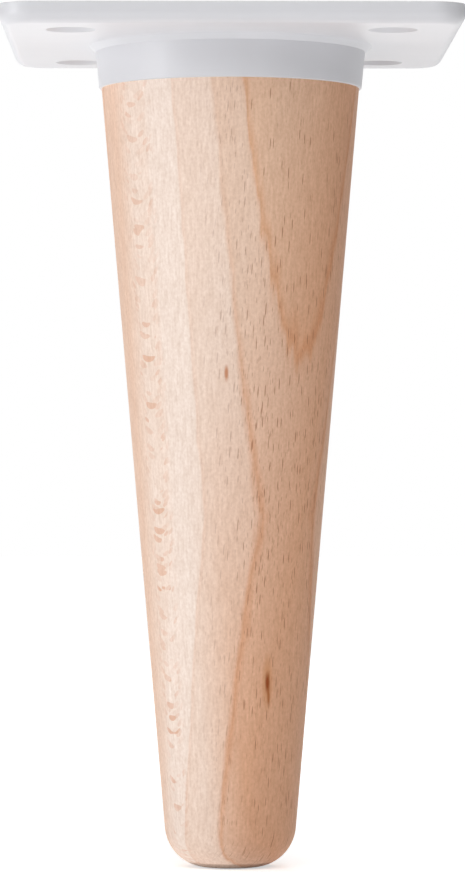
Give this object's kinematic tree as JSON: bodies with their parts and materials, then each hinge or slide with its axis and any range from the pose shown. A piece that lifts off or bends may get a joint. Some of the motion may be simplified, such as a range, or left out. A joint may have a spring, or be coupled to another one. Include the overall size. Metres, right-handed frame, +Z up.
{
  "type": "tapered wooden furniture leg",
  "caption": "Round tapered beech furniture leg with a rounded foot, seated in the collar of a square white plastic mounting plate with countersunk screw holes.",
  "frame": {"origin": "centre of the foot where it meets the floor, on the leg's axis", "axes": "+Z up along the leg's axis towards the plate, +X and +Y square to the plate's edges"},
  "size_m": [0.08, 0.08, 0.15],
  "materials": {
    "beech": "clear satin lacquer",
    "white_plastic": "moulded satin",
    "zinc_steel": "zinc plated"
  },
  "bodies": {
    "root": {"wooden_leg": "beech", "mounting_plate": "white_plastic", "fixing_screw": "zinc_steel"}
  },
  "joints": []
}
